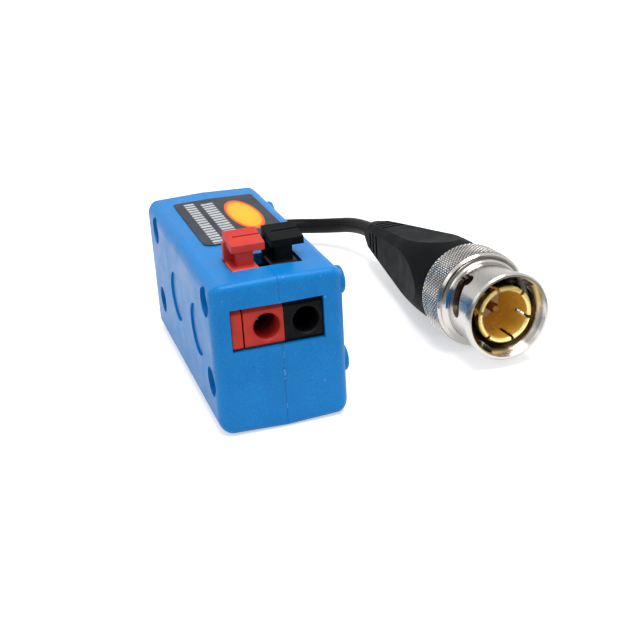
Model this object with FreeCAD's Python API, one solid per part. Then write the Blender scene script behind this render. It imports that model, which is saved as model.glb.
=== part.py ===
import FreeCAD, Part
import math
import os
from FreeCAD import Placement, Rotation, Vector

# A passive video balun: a two-half moulded case with a lever terminal for the
# twisted pair at the front, and a short coaxial lead to a bayonet plug at the back.
# Millimetres. The origin is under the middle of the case, on its parting plane.
# +X is right, +Y runs from the terminals to the lead, +Z is up.

# Gaps that the fits share
seat_gap = 0.03
slide_gap = 0.15
run_gap = 0.08
hole_gap = 0.12
solder_gap = 0.02
overcut = 1.0

# Case
case_length = 40.8
case_width = 17.2
case_height = 20.4
draft_deg = 1.58
wall = 1.5
side_round = 1.7
end_round = 0.85
tongue_width = 0.5
tongue_height = 0.6
tongue_gap = 0.06

# Studs and sockets that let two cases clip together side by side
stud_radius = 1.85
stud_height = 0.68
stud_round = 0.4
stud_front_inset = 3.5
stud_rear_inset = 6.7
stud_low_z = 6.6
stud_top_inset = 3.0
socket_gap = 0.1
socket_depth = 0.8
mark_radius = 3.5
mark_depth = 0.3
mark_front_inset = 9.8
mark_pitch = 12.6

# Posts and pins that hold the halves together
post_radius = 1.7
pin_radius = 0.9
pin_length = 2.4
pin_gap = 0.04
pin_end_gap = 0.3
post_inset_y = 4.0
post_low_z = 4.0
post_top_inset = 4.2

# Circuit board and its rails
board_side_gap = 0.6
board_front_gap = 0.8
board_rear_space = 8.1
board_thick = 1.6
board_under_roof = 7.6
rail_bite = 0.7
rail_thick = 1.2
rail_behind_pole = 1.7
rail_length = 15.0

# Terminal: two poles side by side, closed by an end plate
pole_pitch = 5.08
pole_left_x = -4.6
pole_front_recess = 0.5
pole_height = 6.6
snout_drop = 1.15
snout_rise = 0.2
pole_depth = 12.2
shoulder_back = 3.0
lip_bevel = 0.5
foot_bevel = 0.3
wire_hole_radius = 1.7
wire_hole_offset = 2.98
wire_hole_rise = 2.7
countersink = 0.27
chamber_front = 5.1
chamber_length = 5.0
chamber_low = 0.6
chamber_high = 5.4
chamber_wall = 0.7
end_plate_width = 1.35
end_plate_gap = 0.2
peg_radius = 0.5
peg_length = 0.9
peg_front = 2.2
peg_rise = 1.95
window_gap_side = 0.13
window_gap_low = 0.12
window_gap_high = 0.25

# Levers
foot_behind_front = 4.1
foot_width = 3.6
foot_length = 4.7
foot_thick = 0.8
foot_bevel_top = 0.2
foot_left = 0.1
foot_front_gap = 0.12
cap_width = 4.3
cap_length = 4.3
cap_thick = 0.95
cap_rise = 1.85
cap_ramp = 0.75
cap_under_ramp = 0.45
cap_left = 0.4
cap_front = 0.75
groove_width = 0.35
groove_depth = 0.3
groove_share = 0.52
groove_left = 0.8
post_width = 2.0
post_thick = 1.7
post_front = 1.0
post_left = 1.1
post_bite = 0.3
leg_thick = 0.9
leg_width = 3.2
leg_bite = 0.6
stem_width = 2.6
stem_length = 2.6
stem_nose = 1.0
stem_head_over = 0.4
stem_head_gap = 0.05
opening_side_gap = 0.46

# Spring strip and contact bar in each pole
strip_thick = 0.3
strip_width = 2.2
strip_bend = 0.9
strip_rear_gap = 0.15
strip_low_gap = 0.05
strip_top_gap = 0.85
strip_crest = 2.6
strip_crest_drop = 0.35
strip_tip_front = 0.9
strip_tip_rise = 0.1
contact_thick = 0.5
contact_width = 2.6
contact_left = 0.4
contact_front_gap = 0.4
contact_upright = 2.2
solder_pin = 0.9
solder_length = 1.2

# Transformer and small parts on the board
core_radius = 4.0
core_hole_radius = 2.2
core_height = 2.8
core_round = 0.3
core_gap = 0.6
turn_count = 7
turn_wire = 0.35
turn_gap = 0.06
winding_span_deg = 140.0
diode_length = 4.2
diode_width = 3.4
diode_height = 2.2
diode_round = 0.3
diode_behind_pole = 0.4
capacitor_radius = 1.8
capacitor_thick = 1.6
capacitor_round = 0.5
capacitor_gap = 0.4
capacitor_side_gap = 0.35
lead_radius = 0.25
lead_spacing = 1.2
lead_stub = 0.6
lead_pad_spacing = 3.2
lead_pad_inset = 2.2
lead_drop_space = 1.4

# Label on the roof
label_width = 11.9
label_length = 20.7
label_thick = 0.15
label_left_x = -5.4
label_rear_inset = 5.0
label_corner_front = 1.5
label_corner_rear = 0.5

# Lead and its bush
cable_diameter = 2.7
bush_flange_radius = 2.9
bush_flange_thick = 1.2
bush_front_gap = 0.3
bush_bevel = 0.3
bush_neck_radius = 2.3
bush_neck_out = 0.2
bush_tail_length = 3.0
bush_tip_radius = 1.9
exit_below_board = 1.1

# Bayonet plug. Lengths along it run back from the rim of its mouth.
plug_mouth_x = 33.21
plug_mouth_y = -16.55
plug_mouth_z = 7.5
plug_yaw_deg = 1.6
plug_dip_deg = 2.1
rim_radius = 6.28
rim_length = 1.1
rim_inner_radius = 5.25
rim_round = 0.25
rim_bevel = 0.4
sleeve_radius = 5.72
sleeve_fall = 0.35
jack_bore_radius = 4.95
shoulder_start = 7.65
shoulder_hollow = 0.8
knurl_radius = 6.95
knurl_start = 7.95
knurl_bevel = 0.3
nut_length = 13.25
nut_step = 8.3
nut_rear_bore = 6.05
nut_lip_thick = 1.2
nut_chamfer = 0.35
track_width = 1.9
track_depth = 0.62
track_step = 0.06
track_start_deg = -54.0
track_end_deg = 50.0
track_open_deg = 4.0
track_start = 3.15
track_end = 5.9
pocket_turn_deg = 1.5
pocket_back = 0.85
contact_radius = 4.1
contact_neck_radius = 3.92
contact_bore = 3.43
contact_front = 0.95
contact_round = 0.2
contact_head = 1.2
contact_neck_fall = 0.3
contact_base_rise = 0.2
contact_slits = 6
slit_width = 0.45
slit_end = 4.6
slit_turn_deg = 14.0
body_front = 7.7
body_front_gap = 0.05
body_front_radius = 4.65
flange_start = 9.6
flange_radius = 5.7
flange_thick = 0.8
barrel_radius = 4.8
barrel_end = 16.4
tail_radius = 2.4
tail_bore = 1.2
tail_end = 21.0
insulator_front = 9.0
insulator_end = 14.0
insulator_step = 1.5
pin_tip = 3.8
pin_front_radius = 0.68
pin_root_radius = 0.95
pin_point = 0.5
pin_back_radius = 1.05
pin_end = 18.0
gasket_thick = 0.7
washer_inner = 5.1
washer_outer = 5.7
wave_thick = 0.3
wave_count = 3
wave_points = 8
thrust_thick = 0.6
ferrule_start = 16.8
ferrule_thick = 0.45

# Moulded boot
boot_start = 13.5
boot_radius = 6.5
boot_collar_end = 16.4
boot_lip_round = 0.6
boot_cone_start = 22.1
boot_cone_end = 44.9
boot_cone_radius = 2.85
boot_swell = 55.0
boot_end = 47.5
boot_end_radius = 1.65
boot_tail_length = 1.9
boot_tail_fall = 0.35
boot_lip_length = 0.8
boot_lip_rise = 0.45
boot_flat_share = 0.82
boot_flat_blend = 2.0
boot_socket = 2.9
boot_tail_gap = 0.05
slot_count = 3
slot_pitch = 2.0
slot_first = 38.4
slot_width = 0.85
slot_depth = 0.75
bridge_width = 1.7

# Route of the lead: straight out of the bush, round behind the case and into the boot
lead_straight = 9.0
loop_lead_in = 5.4
loop_turns = 6
loop_heights = (8.4, 6.0, 4.0, 3.5, 3.7)

# Places that follow from the sizes above
draft = math.tan(math.radians(draft_deg))
half_width = case_width / 2
front_y = -case_length / 2
rear_y = case_length / 2
board_top_z = case_height - wall - board_under_roof
board_low_z = board_top_z - board_thick
board_width = case_width - 2 * wall - 2 * board_side_gap
board_front_y = front_y + wall + board_front_gap
board_rear_y = rear_y - board_rear_space
pole_front_y = front_y + pole_front_recess
pole_rear_y = pole_front_y + pole_depth
pole_top_z = board_top_z + pole_height
snout_top_z = pole_top_z - snout_drop
snout_low_z = board_top_z + snout_rise
wire_hole_z = board_top_z + wire_hole_rise
chamber_front_y = pole_front_y + chamber_front
chamber_rear_y = chamber_front_y + chamber_length
chamber_low_z = board_top_z + chamber_low
chamber_high_z = board_top_z + chamber_high
window_left_x = pole_left_x - end_plate_gap - end_plate_width - window_gap_side
window_right_x = pole_left_x + 2 * pole_pitch + window_gap_side
window_low_z = snout_low_z - window_gap_low
window_high_z = snout_top_z + window_gap_high
foot_front_y = pole_front_y + foot_behind_front
foot_top_z = case_height
opening_front_y = foot_front_y - foot_front_gap
opening_rear_y = foot_front_y + foot_length + foot_front_gap
opening_left_x = pole_left_x + foot_left - foot_front_gap
opening_right_x = pole_left_x + pole_pitch + foot_left + foot_width + opening_side_gap
cable_radius = cable_diameter / 2
exit_z = board_top_z - exit_below_board
bush_inner_y = rear_y - wall - bush_flange_thick - bush_front_gap
diode_y = pole_rear_y + diode_behind_pole + diode_width / 2
core_reach = core_radius + turn_gap + turn_wire
core_y = diode_y + diode_width / 2 + core_gap + core_reach
core_low_z = board_top_z + turn_wire + turn_gap + solder_gap
capacitor_x = board_width / 2 - rail_bite - capacitor_side_gap - capacitor_radius
capacitor_y = core_y + core_reach + capacitor_gap + capacitor_thick / 2
spring_top_z = chamber_high_z - strip_top_gap
stem_foot_z = spring_top_z + strip_low_gap
thrust_start = nut_length - nut_lip_thick - thrust_thick - solder_gap
ferrule_bore = tail_radius + 2 * seat_gap + ferrule_thick
plug_mouth = Vector(plug_mouth_x, plug_mouth_y, plug_mouth_z)


def box(x0, x1, y0, y1, z0, z1):
    return Part.makeBox(x1 - x0, y1 - y0, z1 - z0, Vector(x0, y0, z0))


def cylinder(radius, start, end):
    along = end - start
    return Part.makeCylinder(radius, along.Length, start, along)


def extrude_yz(points, x0, x1):
    """A solid from an outline in the YZ plane, between two X positions."""
    corners = [Vector(x0, y, z) for y, z in points]
    face = Part.Face(Part.makePolygon(corners + corners[:1]))
    return face.extrude(Vector(x1 - x0, 0, 0))


def revolve(points):
    """A solid of revolution about local Z from (length, radius) points."""
    corners = [Vector(radius, 0, length) for length, radius in points]
    face = Part.Face(Part.makePolygon(corners + corners[:1]))
    return face.revolve(Vector(0, 0, 0), Vector(0, 0, 1), 360)


def tube(outer, inner, start, end):
    return revolve([(start, inner), (start, outer), (end, outer), (end, inner)])


def case_rectangle(x, inset):
    shrink = inset + abs(x) * draft
    corners = [
        Vector(x, front_y + shrink, shrink),
        Vector(x, rear_y - shrink, shrink),
        Vector(x, rear_y - shrink, case_height - shrink),
        Vector(x, front_y + shrink, case_height - shrink),
    ]
    return Part.makePolygon(corners + corners[:1])


def drafted_half(side, depth, inset):
    """Half of the case's form: walls that lean in from the parting plane."""
    sections = [case_rectangle(0, inset), case_rectangle(side * depth, inset)]
    return Part.makeLoft(sections, True, True)


def round_outer_edges(half):
    """The four long edges across the case and the edge round its flank, in one go."""
    document = FreeCAD.newDocument("rounding")
    base = document.addObject("Part::Feature", "base")
    base.Shape = half
    fillet = document.addObject("Part::Fillet", "fillet")
    fillet.Base = base
    radii = []
    for number, edge in enumerate(half.Edges, start=1):
        xs = [abs(vertex.X) for vertex in edge.Vertexes]
        if min(xs) > half_width - 0.01:
            radii.append((number, side_round, side_round))
        elif max(xs) > half_width - 0.01:
            radii.append((number, end_round, end_round))
    fillet.Edges = radii
    document.recompute()
    solid = fillet.Shape.copy()
    FreeCAD.closeDocument(document.Name)
    return solid


def case_openings():
    """The terminal window, the lever opening and the hole for the bush."""
    cut_depth = wall + overcut / 2
    window = box(
        window_left_x, window_right_x, front_y - overcut, front_y + cut_depth,
        window_low_z, window_high_z,
    )
    roof = box(
        opening_left_x, opening_right_x, opening_front_y, opening_rear_y,
        case_height - cut_depth, case_height + overcut,
    )
    start = Vector(0, rear_y - cut_depth, exit_z)
    neck = cylinder(bush_neck_radius + seat_gap, start, Vector(0, rear_y + overcut, exit_z))
    return [window, roof, neck]


def ring_on_parting_plane(inner_inset, outer_inset, height):
    """A rim that stands on the parting plane, sunk a little into the left half."""
    face = Part.Face(case_rectangle(0, outer_inset)).cut(Part.Face(case_rectangle(0, inner_inset)))
    root = wall / 8
    ring = face.extrude(Vector(root + height, 0, 0))
    ring.translate(Vector(-root, 0, 0))
    return ring


def post_places():
    high_z = case_height - post_top_inset
    return [
        (front_y + post_inset_y, post_low_z),
        (rear_y - post_inset_y, post_low_z),
        (rear_y - post_inset_y, high_z),
    ]


def board_rails(side):
    wall_inside = half_width - wall / 2
    start = board_width / 2 - rail_bite
    rear_of_pole = pole_rear_y + rail_behind_pole
    rails = []
    for low in (board_low_z - rail_thick, board_top_z + slide_gap):
        x0, x1 = sorted((side * start, side * wall_inside))
        rails.append(box(x0, x1, rear_of_pole, rear_of_pole + rail_length, low, low + rail_thick))
    return rails


def case_half(side):
    """One moulded half: drafted shell, posts and board rails."""
    shell = round_outer_edges(drafted_half(side, half_width, 0))
    shell = shell.cut(drafted_half(side, half_width - wall, wall))
    for y, z in post_places():
        end = Vector(side * (half_width - wall / 2), y, z)
        shell = shell.fuse(cylinder(post_radius, Vector(0, y, z), end))
    for rail in board_rails(side):
        shell = shell.fuse(rail)
    return shell


def stud_places():
    lengths = (front_y + stud_front_inset, rear_y - stud_rear_inset)
    heights = (stud_low_z, case_height - stud_top_inset)
    return [(y, z) for y in lengths for z in heights]


def flank_recess(radius, depth, y, z):
    """A shallow round recess in the left flank."""
    return cylinder(radius, Vector(-half_width - overcut, y, z), Vector(depth - half_width, y, z))


def case_left():
    """The left half carries the tongue, the pins, the sockets and two shallow marks."""
    shell = case_half(-1)
    middle = (wall - tongue_width) / 2
    shell = shell.fuse(ring_on_parting_plane(middle + tongue_width, middle, tongue_height))
    for y, z in post_places():
        shell = shell.fuse(cylinder(pin_radius, Vector(-pin_length / 2, y, z), Vector(pin_length, y, z)))
    for y, z in stud_places():
        shell = shell.cut(flank_recess(stud_radius + socket_gap, socket_depth, y, z))
    for count in range(2):
        y = front_y + mark_front_inset + count * mark_pitch
        shell = shell.cut(flank_recess(mark_radius, mark_depth, y, board_top_z))
    for opening in case_openings():
        shell = shell.cut(opening)
    return shell


def case_right():
    """The right half carries the groove, the pin holes and the studs."""
    shell = case_half(1)
    outside = (wall - tongue_width) / 2 - tongue_gap
    inside = outside + tongue_width + 2 * tongue_gap
    shell = shell.cut(ring_on_parting_plane(inside, outside, tongue_height + tongue_gap))
    for y, z in post_places():
        hole_end = Vector(pin_length + pin_end_gap, y, z)
        shell = shell.cut(cylinder(pin_radius + pin_gap, Vector(-overcut, y, z), hole_end))
    top_x = half_width + stud_height
    for y, z in stud_places():
        stud = cylinder(stud_radius, Vector(half_width - wall / 4, y, z), Vector(top_x, y, z))
        tip = [edge for edge in stud.Edges if abs(edge.CenterOfMass.x - top_x) < 0.001]
        shell = shell.fuse(stud.makeFillet(stud_round, tip))
    for opening in case_openings():
        shell = shell.cut(opening)
    return shell


def roof_height(x):
    return case_height - abs(x) * draft


def label():
    """A thin sticker that follows the roof over the seam, with rounded corners."""
    left = label_left_x
    right = label_left_x + label_width
    rear = rear_y - label_rear_inset
    front = rear - label_length
    profile = [
        Vector(left, front, roof_height(left)),
        Vector(0, front, roof_height(0)),
        Vector(right, front, roof_height(right)),
        Vector(right, front, roof_height(right) + label_thick),
        Vector(0, front, roof_height(0) + label_thick),
        Vector(left, front, roof_height(left) + label_thick),
    ]
    sheet = Part.Face(Part.makePolygon(profile + profile[:1])).extrude(Vector(0, label_length, 0))
    for y, radius in ((front, label_corner_front), (rear, label_corner_rear)):
        corners = [
            edge for x in (left, right) for edge in sheet.Edges
            if (edge.CenterOfMass - Vector(x, y, roof_height(x) + label_thick / 2)).Length < label_thick / 4
        ]
        sheet = sheet.makeFillet(radius, corners)
    return sheet


def pole_x(number):
    return pole_left_x + number * pole_pitch


def stem_x(number):
    return pole_x(number) + foot_left + (foot_width - stem_width) / 2


def stem_front_y():
    return foot_front_y + (foot_length - stem_length) / 2


def contact_x(number):
    return stem_x(number) + (stem_width - contact_width) / 2 + contact_left


def pole_outline():
    """Side view of a pole: a low snout behind the window and a taller block behind it."""
    shoulder_y = pole_front_y + shoulder_back
    return [
        (pole_front_y, snout_low_z + foot_bevel),
        (pole_front_y + foot_bevel, snout_low_z),
        (shoulder_y, snout_low_z),
        (shoulder_y, board_top_z),
        (pole_rear_y, board_top_z),
        (pole_rear_y, pole_top_z),
        (shoulder_y, pole_top_z),
        (shoulder_y, snout_top_z),
        (pole_front_y + lip_bevel, snout_top_z),
        (pole_front_y, snout_top_z - lip_bevel),
    ]


def peg_places():
    rear_wall_middle = (chamber_rear_y + pole_rear_y) / 2
    return [(pole_front_y + peg_front, wire_hole_z + peg_rise), (rear_wall_middle, wire_hole_z)]


def wire_hole(number):
    mouth = Vector(pole_x(number) + wire_hole_offset, pole_front_y, wire_hole_z)
    start = mouth - Vector(0, overcut, 0)
    bore = cylinder(wire_hole_radius, start, mouth + Vector(0, chamber_front + overcut / 2, 0))
    flare_start = mouth - Vector(0, countersink, 0)
    flare = Part.makeCone(
        wire_hole_radius + 2 * countersink, wire_hole_radius, 2 * countersink,
        flare_start, Vector(0, 1, 0),
    )
    return bore.fuse(flare)


def pole_body(number):
    """One terminal pole: wire hole, side chamber for spring and contact, lever channel."""
    x = pole_x(number)
    body = extrude_yz(pole_outline(), x, x + pole_pitch)
    body = body.cut(wire_hole(number))
    chamber = box(
        x - overcut, x + pole_pitch - chamber_wall, chamber_front_y, chamber_rear_y,
        chamber_low_z, chamber_high_z,
    )
    body = body.cut(chamber)
    left = stem_x(number) - slide_gap
    front = stem_front_y() - slide_gap
    channel = box(
        left, left + stem_width + 2 * slide_gap, front, front + stem_length + 2 * slide_gap,
        chamber_high_z - hole_gap, pole_top_z + overcut,
    )
    body = body.cut(channel)
    pin_y = chamber_rear_y - contact_thick
    slot = box(
        contact_x(number) - hole_gap, contact_x(number) + contact_width + hole_gap,
        pin_y - hole_gap, chamber_rear_y, board_top_z - overcut, chamber_low_z + hole_gap,
    )
    body = body.cut(slot)
    right = x + pole_pitch
    for y, z in peg_places():
        hole = cylinder(peg_radius + seat_gap, Vector(right - peg_length - hole_gap, y, z), Vector(right + overcut, y, z))
        peg = cylinder(peg_radius, Vector(x + chamber_wall / 2, y, z), Vector(x - peg_length, y, z))
        body = body.cut(hole).fuse(peg)
    return body


def end_plate():
    """The plate that closes the first pole's open side, on the pole's two pegs."""
    right = pole_left_x - end_plate_gap
    plate = extrude_yz(pole_outline(), right - end_plate_width, right)
    for y, z in peg_places():
        end = Vector(pole_left_x - peg_length - hole_gap, y, z)
        plate = plate.cut(cylinder(peg_radius + seat_gap, Vector(right + overcut, y, z), end))
    return plate


def lever_cap(number):
    """The thumb pad: a wedge that rises to the back, with one cross groove."""
    left = pole_x(number) + cap_left
    front = foot_front_y + cap_front
    low = foot_top_z + cap_rise
    high = low + cap_thick
    outline = [
        (front, low),
        (front + cap_length, low + cap_under_ramp),
        (front + cap_length, high + cap_ramp),
        (front, high),
    ]
    cap = extrude_yz(outline, left, left + cap_width)
    groove_y = front + cap_length * groove_share
    groove_z = high + cap_ramp * groove_share - groove_depth
    groove = box(
        left + groove_left, left + cap_width + overcut, groove_y, groove_y + groove_width,
        groove_z, high + cap_ramp + overcut,
    )
    return cap.cut(groove)


def lever_stem(number):
    """The stem in its channel, with a wider head that stops under the pole's roof."""
    left = stem_x(number)
    right = left + stem_width
    front = stem_front_y()
    rear = front + stem_length
    stem = box(left, right, front, rear, stem_foot_z, foot_top_z - foot_thick / 2)
    nose = [
        edge for edge in stem.Edges
        if edge.BoundBox.ZMax < stem_foot_z + 0.001 and edge.BoundBox.YLength < 0.001
    ]
    stem = stem.makeFillet(stem_nose, nose)
    over = stem_head_over
    head_high = chamber_high_z - stem_head_gap
    head = box(left - over, right + over, front, rear, stem_foot_z + stem_nose / 2, head_high)
    return stem.fuse(head)


def lever(number):
    """A lever: cap, front post and rear leg on a foot, and a stem down to the spring."""
    x = pole_x(number) + foot_left
    foot_rear = foot_front_y + foot_length
    low = foot_top_z - foot_thick / 2
    cap_low = foot_top_z + cap_rise
    foot = box(x, x + foot_width, foot_front_y, foot_rear, foot_top_z - foot_thick, foot_top_z)
    top = [edge for edge in foot.Edges if edge.BoundBox.ZMin > foot_top_z - 0.001]
    foot = foot.makeChamfer(foot_bevel_top, top)
    post = box(
        x + post_left, x + post_left + post_width,
        foot_front_y + post_front, foot_front_y + post_front + post_thick, low, cap_low + post_bite,
    )
    leg = box(x, x + leg_width, foot_rear - leg_thick, foot_rear, low, cap_low + leg_bite)
    return foot.fuse([lever_stem(number), post, leg, lever_cap(number)]).removeSplitter()


def spring(number):
    """A bent strip that holds the wire on the contact and lifts the lever."""
    x = contact_x(number) + (contact_width - strip_width) / 2
    rear = chamber_rear_y - contact_thick - strip_rear_gap
    low = chamber_low_z + contact_thick + strip_low_gap
    top = spring_top_z
    crest_y = rear - strip_crest
    crest_z = top - strip_crest_drop
    tip_y = chamber_front_y + strip_tip_front
    tip_z = low + strip_tip_rise
    bend_middle = Vector(x, rear - strip_bend, top - strip_bend)
    slant = Vector(0, 1, 1).normalize()
    thick = strip_thick
    outer = [
        Vector(x, rear, low),
        Vector(x, rear, top - strip_bend),
        Vector(x, rear - strip_bend, top),
        Vector(x, crest_y, crest_z),
        Vector(x, tip_y, tip_z),
    ]
    inner = [
        Vector(x, tip_y + thick * 1.3, tip_z),
        Vector(x, crest_y + thick / 3, crest_z - thick * 1.4),
        Vector(x, rear - strip_bend, top - thick),
        Vector(x, rear - thick, top - strip_bend),
        Vector(x, rear - thick, low),
    ]
    arc_out = Part.Arc(outer[1], bend_middle + slant * strip_bend, outer[2]).toShape()
    arc_in = Part.Arc(inner[2], bend_middle + slant * (strip_bend - thick), inner[3]).toShape()
    edges = [
        Part.makeLine(outer[0], outer[1]), arc_out,
        Part.makeLine(outer[2], outer[3]), Part.makeLine(outer[3], outer[4]),
        Part.makeLine(outer[4], inner[0]), Part.makeLine(inner[0], inner[1]),
        Part.makeLine(inner[1], inner[2]), arc_in,
        Part.makeLine(inner[3], inner[4]), Part.makeLine(inner[4], outer[0]),
    ]
    return Part.Face(Part.Wire(edges)).extrude(Vector(strip_width, 0, 0))


def contact_bar(number):
    """A bent contact bar on the chamber floor, with its solder pin through the board."""
    left = contact_x(number)
    right = left + contact_width
    rear = chamber_rear_y
    floor = chamber_low_z
    bar = box(left, right, chamber_front_y + contact_front_gap, rear, floor, floor + contact_thick)
    upright = box(left, right, rear - contact_thick, rear, floor, floor + contact_upright)
    pin_left = left + (contact_width - solder_pin) / 2
    tail = box(
        pin_left, pin_left + solder_pin, rear - contact_thick, rear,
        board_low_z - solder_length, floor + contact_thick / 2,
    )
    return bar.fuse([tail, upright]).removeSplitter()


def circuit_board():
    half = board_width / 2
    board = box(-half, half, board_front_y, board_rear_y, board_low_z, board_top_z)
    reach = math.hypot(solder_pin, contact_thick) / 2 + hole_gap
    for number in range(2):
        x = contact_x(number) + contact_width / 2
        y = chamber_rear_y - contact_thick / 2
        start = Vector(x, y, board_low_z - overcut)
        board = board.cut(cylinder(reach, start, Vector(x, y, board_top_z + overcut)))
    return board


def core():
    low = Vector(0, core_y, core_low_z)
    ring = cylinder(core_radius, low, low + Vector(0, 0, core_height))
    under = low - Vector(0, 0, overcut)
    ring = ring.cut(cylinder(core_hole_radius, under, low + Vector(0, 0, core_height + overcut)))
    return ring.makeFillet(core_round, [edge for edge in ring.Edges if edge.Closed])


def one_turn(angle):
    """One flat turn round the ring core's section, at an angle round the ring."""
    inner = core_hole_radius - turn_gap
    outer = core_radius + turn_gap
    low = core_low_z - turn_gap
    high = core_low_z + core_height + turn_gap
    half = turn_wire / 2
    hole = box(inner, outer, -turn_wire, turn_wire, low, high)
    band = box(inner - turn_wire, outer + turn_wire, -half, half, low - turn_wire, high + turn_wire)
    turn = band.cut(hole)
    turn.rotate(Vector(0, 0, 0), Vector(0, 0, 1), angle)
    turn.translate(Vector(0, core_y, 0))
    return turn


def winding(first_angle):
    step = winding_span_deg / turn_count
    return Part.makeCompound([one_turn(first_angle + step * count) for count in range(turn_count)])


def surge_diode():
    half = diode_length / 2
    block = box(
        -half, half, diode_y - diode_width / 2, diode_y + diode_width / 2,
        board_top_z, board_top_z + diode_height,
    )
    upright = [edge for edge in block.Edges if edge.BoundBox.ZLength > diode_height - 0.01]
    return block.makeFillet(diode_round, upright)


def capacitor():
    middle = Vector(capacitor_x, capacitor_y, board_top_z + capacitor_radius)
    half = Vector(0, capacitor_thick / 2, 0)
    disc = cylinder(capacitor_radius, middle - half, middle + half)
    return disc.makeFillet(capacitor_round, [edge for edge in disc.Edges if edge.Closed])


def straight_wire(points, radius):
    """A wire of straight stretches with a ball at each bend."""
    solid = cylinder(radius, points[0], points[1])
    for start, end in zip(points[1:], points[2:]):
        solid = solid.fuse([Part.makeSphere(radius, start), cylinder(radius, start, end)])
    return solid


def lead_end(side):
    """The lead's core or screen, from the lead's cut end up on to the board."""
    start = Vector(0, bush_inner_y, exit_z + side * lead_spacing / 2)
    out = start - Vector(0, lead_stub, 0)
    pad_z = board_top_z + lead_radius + solder_gap
    pad_x = side * lead_pad_spacing / 2
    over = Vector(side * lead_spacing, board_rear_y + lead_drop_space, pad_z)
    pad = Vector(pad_x, board_rear_y - lead_pad_inset, pad_z)
    return straight_wire([start, out, over, pad], lead_radius)


def bush():
    """The bush that grips the lead in the case's rear wall, with a tapered tail."""
    flange_front = rear_y - wall - bush_flange_radius * draft - seat_gap
    bore = cable_radius + seat_gap
    solid = revolve([
        (bush_inner_y, bush_flange_radius - bush_bevel),
        (bush_inner_y + bush_bevel, bush_flange_radius),
        (flange_front, bush_flange_radius),
        (flange_front, bush_neck_radius),
        (rear_y + bush_neck_out, bush_neck_radius),
        (rear_y + bush_tail_length, bush_tip_radius),
        (rear_y + bush_tail_length, bore),
        (bush_inner_y, bore),
    ])
    solid.rotate(Vector(0, 0, 0), Vector(1, 0, 0), -90)
    solid.translate(Vector(0, 0, exit_z))
    return solid


def corner_arc(before, corner, after):
    """The tangent arc at a corner of the route, and its radius."""
    back = before - corner
    ahead = after - corner
    reach = 0.45 * min(back.Length, ahead.Length)
    turn = math.pi - back.getAngle(ahead)
    radius = reach / math.tan(turn / 2)
    start = corner + back.normalize() * reach
    end = corner + ahead.normalize() * reach
    inward = ((start + end) * 0.5 - corner).normalize()
    middle = corner + inward * (radius / math.cos(turn / 2) - radius)
    return Part.Arc(start, middle, end), radius


def cable_points():
    """The lead's corners: out of the bush, round a half circle and into the boot."""
    turn_in = plug_point(boot_end + loop_lead_in)
    half_step = math.radians(90 / loop_turns)
    radius = turn_in.x / 2
    reach = radius / math.cos(half_step)
    centre_y = turn_in.y - radius * math.tan(half_step)
    points = [Vector(0, bush_inner_y, exit_z), Vector(0, bush_inner_y + lead_straight, exit_z)]
    for number, height in enumerate(loop_heights):
        angle = half_step * (2 * number + 1)
        x = radius - reach * math.cos(angle)
        points.append(Vector(x, centre_y + reach * math.sin(angle), height))
    points.append(turn_in)
    points.append(plug_point(boot_end - boot_socket))
    return points


def cable():
    """The lead: straight runs joined by tangent arcs, with one round section."""
    points = cable_points()
    print("lead corners", [tuple(round(value, 2) for value in point) for point in points])
    edges = []
    radii = []
    last = points[0]
    for before, corner, after in zip(points, points[1:], points[2:]):
        arc, radius = corner_arc(before, corner, after)
        radii.append(round(radius, 1))
        edges.append(Part.LineSegment(last, arc.StartPoint).toShape())
        edges.append(arc.toShape())
        last = arc.EndPoint
    edges.append(Part.LineSegment(last, points[-1]).toShape())
    path = Part.Wire(edges)
    start = Part.Wire(Part.makeCircle(cable_radius, points[0], points[1] - points[0]))
    solid = path.makePipeShell([start], True, False)
    wanted = math.pi * cable_radius ** 2 * path.Length
    print("lead radii", radii, "length", round(path.Length, 1))
    print("lead volume", round(solid.Volume, 2), "section times length", round(wanted, 2))
    return solid


def plug_placement():
    """Local Z of the plug's pieces runs back from the mouth."""
    yaw = math.radians(plug_yaw_deg)
    dip = math.radians(plug_dip_deg)
    back = Vector(-math.sin(yaw) * math.cos(dip), math.cos(yaw) * math.cos(dip), -math.sin(dip))
    left = Vector(-math.cos(yaw), -math.sin(yaw), 0)
    up = back.cross(left)
    return Placement(plug_mouth, Rotation(left, up, back, "ZXY"))


def plug_point(length):
    """A point on the plug's axis, at a length behind the rim of its mouth."""
    return plug_placement().multVec(Vector(0, 0, length))


def cam_track(from_deg, width, outer, turn):
    """A track that climbs round the nut to a pocket for the jack's stud, cut to a given radius."""
    slope = (track_end - track_start) / (track_end_deg - track_start_deg)
    sweep = track_end_deg - from_deg
    start_length = track_start + (from_deg - track_start_deg) * slope
    inner = jack_bore_radius - overcut
    half = width / 2
    spine = Part.makeHelix(slope * 360, sweep * slope, inner)
    corners = [
        Vector(inner, 0, -half), Vector(outer, 0, -half),
        Vector(outer, 0, half), Vector(inner, 0, half),
    ]
    profile = Part.makePolygon(corners + corners[:1])
    cut = Part.Wire(spine).makePipeShell([profile], True, True)
    first = cylinder(half, Vector(inner, 0, 0), Vector(outer, 0, 0))
    last = first.copy()
    last.rotate(Vector(0, 0, 0), Vector(0, 0, 1), sweep)
    last.translate(Vector(0, 0, sweep * slope))
    pocket = last.copy()
    pocket.rotate(Vector(0, 0, 0), Vector(0, 0, 1), pocket_turn_deg)
    pocket.translate(Vector(0, 0, -pocket_back))
    cut = cut.fuse([first, last, pocket])
    cut.rotate(Vector(0, 0, 0), Vector(0, 0, 1), from_deg + turn)
    cut.translate(Vector(0, 0, start_length))
    return cut


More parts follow.
